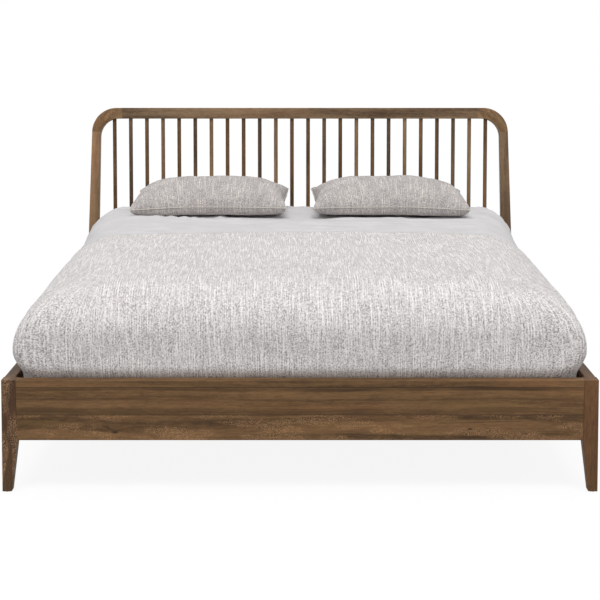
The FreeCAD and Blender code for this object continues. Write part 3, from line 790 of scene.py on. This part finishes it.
def mattress(material, piping):
    """Mattress with round upper edges, under the cloth, and a flat base."""
    foot_corner, head_corner = (-cloth_half, foot_flat_y - end_drop), (cloth_half, head_flat_y + end_drop)
    form = flat_cloth(foot_corner, head_corner, 2 * cloth_step)
    settle(form, lambda flat, point: -under_cloth)
    rim = [edge for edge in form.edges if edge.is_boundary]
    made = bmesh.ops.extrude_edge_only(form, edges=rim)["geom"]
    for item in made:
        if isinstance(item, bmesh.types.BMVert):
            item.co.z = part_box("mattress")[0].z
    base = [edge for edge in form.edges if edge.is_boundary]
    piping_radius = 0.004
    piping_path = [place + Vector((0, 0, piping_radius)) for place in walk(base)]
    bmesh.ops.edgeloop_fill(form, edges=base)
    bmesh.ops.recalc_face_normals(form, faces=form.faces)
    piping_piece = cord("mattress_piping", [piping_path], piping_radius, piping, closed=True)
    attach(piping_piece, "mattress_set")
    piece = new_piece("mattress_pad", form, material)
    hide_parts("mattress")
    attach(piece, "mattress_set")


# ---- pillows ----
pillow_steps = (72, 48)
pillow_half_thickness = 0.1060  # upper half
pillow_sink = 0.046  # lower half, flattened by the bed
pillow_base = 0.681
pillow_pull = 0.055  # how far the sides pull in between the corners, as a share of the half size
rim_cloth = 0.6  # cloth taken up by the steep rim, as a share of the drop there
pillow_margin = 0.010  # room at each end for the pillow's turn and its gathers
pillow_turn = 1.0  # degrees
outer_drop = 0.010  # the outer end lies this much lower than the inner end
back_raise, corner_raise = 0.008, 0.026  # of the rim, at the back and at its corners
under_share = 0.25  # how much of its dents the flat lower panel shows
seam_radius = 0.0016


def fullness(place, reach, edge):
    """1 in the middle and 0 at -1 and 1. A higher reach is flatter, and a lower edge is steeper."""
    return clamp(1 - abs(place) ** reach) ** edge


def pillow_profile(u, v):
    """Share of full thickness at a place from -1 to 1 across and along: full in the middle, steep ends."""
    return fullness(u, 4.4, 0.44) * fullness(v, 2.2, 0.50)


def sewn_case(half_x, half_y):
    """Two panels filled out and joined round their edge. The UV map follows the cloth's length."""
    form = bmesh.new()
    layer = form.loops.layers.uv.new("cloth")
    for way in (1, -1):
        made = bmesh.ops.create_grid(
            form, x_segments=pillow_steps[0], y_segments=pillow_steps[1], size=1.0
        )
        cloth_places = {}
        for vert in made["verts"]:
            u, v = [place * (1.28 - 0.28 * place * place) for place in vert.co.xy]  # closer at the seam
            share = pillow_profile(u, v)
            thickness = share * pillow_half_thickness
            vert.co.x = half_x * u * (1 - pillow_pull * (1 - v * v))
            vert.co.y = half_y * v * (1 - pillow_pull * (1 - u * u))
            if way > 0:
                vert.co.z = thickness
            else:
                vert.co.z = -pillow_sink * math.tanh(thickness / pillow_sink)
            rim = pillow_half_thickness - thickness
            cloth_places[vert] = (
                vert.co.x + math.copysign(rim * rim_cloth * u * u, u),
                vert.co.y + math.copysign(rim * rim_cloth * v * v, v),
            )
        faces = {face for vert in made["verts"] for face in vert.link_faces}
        for face in faces:
            for loop in face.loops:
                loop[layer].uv = cloth_places[loop.vert]
        if way < 0:
            bmesh.ops.reverse_faces(form, faces=list(faces))
    rim = [vert for vert in form.verts if vert.is_boundary]
    bmesh.ops.remove_doubles(form, verts=rim, dist=0.0001)
    bmesh.ops.recalc_face_normals(form, faces=form.faces)
    return form


def pucker(u, v, seed):
    """How far the case stands off its smooth shape: gathers along the seams and soft dents."""
    to_end, to_front = 1 - abs(u), 1 - abs(v)
    gather = 0.0
    for near, along, pitch in ((to_end * 0.33, v * 0.20, 0.017), (to_front * 0.20, u * 0.33, 0.024)):
        fade = smooth_step(0.0, 0.012, near) * (1 - smooth_step(0.015, 0.085, near))
        place = Vector((along / pitch, near / 0.10, seed))
        gather += fade * noise.noise(place) * 0.0046
    dent = noise.noise(Vector((u * 2.4, v * 2.0, seed + 5.0))) * 0.0045
    crease = noise.noise(Vector((u * 7.0, v * 2.6, seed + 9.0))) * 0.0022
    inside = smooth_step(0.0, 0.25, min(to_end, to_front))
    return gather + (dent + crease) * inside


def pillow(side, way, material, thread):
    """Case with its seam, put in its place on the bed, outer end lower and back corners raised."""
    low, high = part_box(f"pillow_{side}")
    middle = (low + high) / 2
    half_x, half_y = (high.x - low.x) / 2 - pillow_margin, (high.y - low.y) / 2
    seat = Vector((middle.x, middle.y, pillow_base + pillow_sink))
    form = sewn_case(half_x, half_y)
    seam = [edge for edge in form.edges if all(abs(vert.co.z) < 1e-6 for vert in edge.verts)]
    form.normal_update()
    normals = {vert: vert.normal.copy() for vert in form.verts}
    yaw = Matrix.Rotation(math.radians(pillow_turn * way), 3, "Z")
    for vert in form.verts:
        u, v = vert.co.x / half_x, vert.co.y / half_y
        shown = under_share if vert.co.z < -0.5 * pillow_sink else 1.0
        place = vert.co + normals[vert] * pucker(u, v, 3.0 + way) * shown
        place.z -= outer_drop * smooth_step(0.05, 0.36, place.x * way) - outer_drop / 2
        raised = back_raise * v + corner_raise * smooth_step(0.4, 1.0, v) * abs(u) ** 3
        place.z += raised * (1 - pillow_profile(u, v))
        vert.co = yaw @ place + seat
    rim = walk(seam)
    piece = new_piece(f"pillow_{side}_case", form, material)
    smooth = piece.modifiers.new("smooth", "SUBSURF")
    smooth.levels = smooth.render_levels = 1
    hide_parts(f"pillow_{side}")
    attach(piece, f"pillow_{side}")
    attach(cord(f"pillow_{side}_seam", [rim], seam_radius, thread, closed=True), f"pillow_{side}")


# ---- screws, staples and threads ----
screw_radius = 0.0045
screw_head = 0.0024
socket_radius = 0.0019
socket_depth = 0.0016
ledge_screw_count = 6
plate_reach = 0.083  # from the rail's corner to the middle of a corner plate's flange
plate_face = 0.0025
hanger_reach = 0.033  # from the bed's middle to the middle of a hanger's flange
hanger_face = 0.002
slat_width, slat_count = 0.086, 14
strap_half = 0.0125
staple_half, staple_leg, staple_from_middle, staple_radius = 0.0055, 0.004, 0.020, 0.0006
thread_pitch, thread_radius, thread_ridge = 0.00125, 0.0039, 0.00035
thread_start, thread_stop = 0.0135, 0.001  # from the stem's lower and upper ends


def add_screw(form, place, facing):
    """Rounded screw head with a hexagon socket, standing on a face."""
    first = len(form.verts)
    made = bmesh.ops.create_cone(
        form, cap_ends=True, segments=24, radius1=screw_radius, radius2=screw_radius * 0.74, depth=screw_head
    )
    caps = {face for vert in made["verts"] for face in vert.link_faces}
    top = max(caps, key=lambda face: face.calc_center_median().z)
    bmesh.ops.inset_individual(form, faces=[top], thickness=screw_radius * 0.24)
    for vert in top.verts:
        turn = math.atan2(vert.co.y, vert.co.x)
        reach_out = socket_radius / math.cos((turn + math.pi / 6) % (math.pi / 3) - math.pi / 6)
        vert.co.xy = (reach_out * math.cos(turn), reach_out * math.sin(turn))
    sunk = bmesh.ops.extrude_face_region(form, geom=[top])["geom"]
    floor_verts = [item for item in sunk if isinstance(item, bmesh.types.BMVert)]
    bmesh.ops.translate(form, verts=floor_verts, vec=(0, 0, -socket_depth))
    if top.is_valid:
        bmesh.ops.delete(form, geom=[top], context="FACES_ONLY")
    form.verts.ensure_lookup_table()
    turn = facing.to_track_quat("Z", "Y").to_matrix().to_4x4()
    move = Matrix.Translation(place + facing * screw_head / 2)
    bmesh.ops.transform(form, matrix=move @ turn, verts=form.verts[first:])


def screws(name, places, material):
    """One piece of many screws, each at a place and facing a way."""
    form = bmesh.new()
    for place, facing in places:
        add_screw(form, Vector(place), Vector(facing))
    bmesh.ops.recalc_face_normals(form, faces=form.faces)
    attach(new_piece(name, form, material, smooth=False), "bed_frame")


def ledge_screws(steel):
    low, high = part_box("slat_ledge_right")
    z = (low.z + high.z) / 2
    rows = [mix(low.y, high.y, (i + 0.5) / ledge_screw_count) for i in range(ledge_screw_count)]
    places = [((way * low.x, y, z), (-way, 0, 0)) for way in (-1, 1) for y in rows]
    screws("ledge_screws", places, steel)


def plate_and_hanger_screws(steel):
    plate_low, plate_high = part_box("corner_plates")
    hanger_low, hanger_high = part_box("beam_hangers")
    plate_rows = [mix(plate_low.z, plate_high.z, share) for share in (0.25, 0.75)]
    hanger_rows = [mix(hanger_low.z, hanger_high.z, share) for share in (0.28, 0.76)]
    plates, hangers = [], []
    for end_y, inward in ((plate_low.y, 1), (plate_high.y, -1)):
        for way in (-1, 1):
            inner = way * side_rail_inner
            for z in plate_rows:
                plates.append(((inner - way * plate_face, end_y + inward * plate_reach, z), (-way, 0, 0)))
                plates.append(((inner - way * plate_reach, end_y + inward * plate_face, z), (0, inward, 0)))
            for z in hanger_rows:
                hangers.append(((way * hanger_reach, end_y + inward * hanger_face, z), (0, inward, 0)))
    screws("plate_screws", plates, steel)
    screws("hanger_screws", hangers, steel)


def strap_staples(steel):
    """Two staples hold each strap to each slat, from below."""
    strap_low, strap_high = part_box("slat_straps")
    slats_low, slats_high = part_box("slats")
    low = strap_low.z - 0.0002
    staples = []
    for i in range(slat_count):
        y = mix(slats_low.y + slat_width / 2, slats_high.y - slat_width / 2, i / (slat_count - 1))
        for x in (strap_low.x + strap_half, strap_high.x - strap_half):
            for off in (-staple_from_middle, staple_from_middle):
                corners = ((-1, staple_leg), (-1, 0.0), (1, 0.0), (1, staple_leg))
                staples.append([Vector((x + way * staple_half, y + off, low + up)) for way, up in corners])
    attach(cord("strap_staples", staples, staple_radius, steel), "bed_frame")


def leveller_threads(steel):
    for end in ("foot", "head"):
        stem_low, stem_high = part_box(f"leveller_stem_{end}")
        middle = (stem_low + stem_high) / 2
        start, stop = stem_low.z + thread_start, stem_high.z - thread_stop
        steps = round((stop - start) / thread_pitch * 16)
        helix = []
        for i in range(steps + 1):
            turn = i * math.pi / 8
            out = Vector((math.cos(turn), math.sin(turn), 0)) * thread_radius
            helix.append(Vector((middle.x, middle.y, mix(start, stop, i / steps))) + out)
        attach(cord(f"leveller_thread_{end}", [helix], thread_ridge, steel), f"{end}_stem")


# ---- camera, light and floor ----
photo_px, focal_px, sensor_width = 600, 1557.2, 36.0
camera_distance, camera_height, camera_tilt = 4.806, 1.473, 10.0  # distance is from the foot legs' faces
world_light = 0.55
lamps = (("key left", (0.22, 0.47, -0.95), 1.05), ("key right", (-0.22, 0.47, -0.95), 0.99))
lamp_spread = 24.0
floor_glow = 0.90  # share of the floor's look that shadows don't reach
floor_bounce = 0.45
white = (1, 1, 1, 1)


def floor_paint():
    """White where the camera sees it, with faint shadows, and darker for the light it throws back."""
    paint = Paint("floor", Base_Color=white, Roughness=1.0, Specular_IOR_Level=0.0)
    glow = paint.node("ShaderNodeEmission", None, (white, 1.0))
    thrown = paint.node("ShaderNodeBsdfDiffuse", None, ((floor_bounce, floor_bounce, floor_bounce, 1),))
    bright = paint.node("ShaderNodeMixShader", None, (floor_glow, paint.lit, glow))
    return paint.finish(paint.node("ShaderNodeMixShader", None, (paint.straight_ray(), thrown, bright)))


def studio():
    scene = bpy.context.scene
    scene.view_settings.view_transform = "Standard"
    camera = bpy.data.objects.new("camera", bpy.data.cameras.new("camera"))
    camera.data.sensor_width = sensor_width
    camera.data.lens = sensor_width * focal_px / photo_px
    camera.data.clip_end = 100
    camera.location = (0, front_y - camera_distance, camera_height)
    camera.rotation_euler = (math.radians(90 - camera_tilt), 0, 0)
    scene.collection.objects.link(camera)
    scene.camera = camera

    world = bpy.data.worlds.new("studio")
    scene.world = world
    nodes = Nodes(world)
    strength = nodes.node("ShaderNodeMapRange", None, {0: nodes.straight_ray(), 3: world_light, 4: 1.0})
    nodes.node("ShaderNodeOutputWorld", None, (nodes.node("ShaderNodeBackground", None, (white, strength)),))

    for name, way, power in lamps:
        lamp = bpy.data.objects.new(name, bpy.data.lights.new(name, "SUN"))
        lamp.data.energy = power
        lamp.data.angle = math.radians(lamp_spread)
        lamp.rotation_euler = Vector(way).to_track_quat("-Z", "Y").to_euler()
        scene.collection.objects.link(lamp)

    form = bmesh.new()
    bmesh.ops.create_grid(form, x_segments=1, y_segments=1, size=60)
    new_piece("floor", form, floor_paint(), smooth=False)


# ---- the bed ----
dress_frame()
seam_thread = plain_weave("seam thread", srgb(230, 224, 215), srgb(188, 182, 175))
coverlet_weave = slub_weave("coverlet weave", srgb(219, 215, 215), srgb(122, 113, 113), srgb(252, 250, 246))
coverlet(coverlet_weave, seam_thread)
fitted_sheet(plain_weave("sheet cotton", srgb(212, 210, 211), srgb(192, 190, 191)))
mattress(ticking("mattress ticking", srgb(226, 223, 218), srgb(186, 182, 176)), webbing("mattress tape"))
# painted shade: the pillows' weave is darker than the coverlet's, for the lower light at the head end
shaded_pillow_weave = slub_weave(
    "shaded pillow weave", srgb(179, 173, 172), srgb(138, 131, 131), srgb(230, 225, 216), size=1.05, patchy=1.0
)
pillow("left", -1, shaded_pillow_weave, seam_thread)
pillow("right", 1, shaded_pillow_weave, seam_thread)
steel = plated("screw steel", srgb(176, 172, 160), srgb(104, 100, 92))
ledge_screws(steel)
plate_and_hanger_screws(steel)
strap_staples(steel)
leveller_threads(steel)
studio()
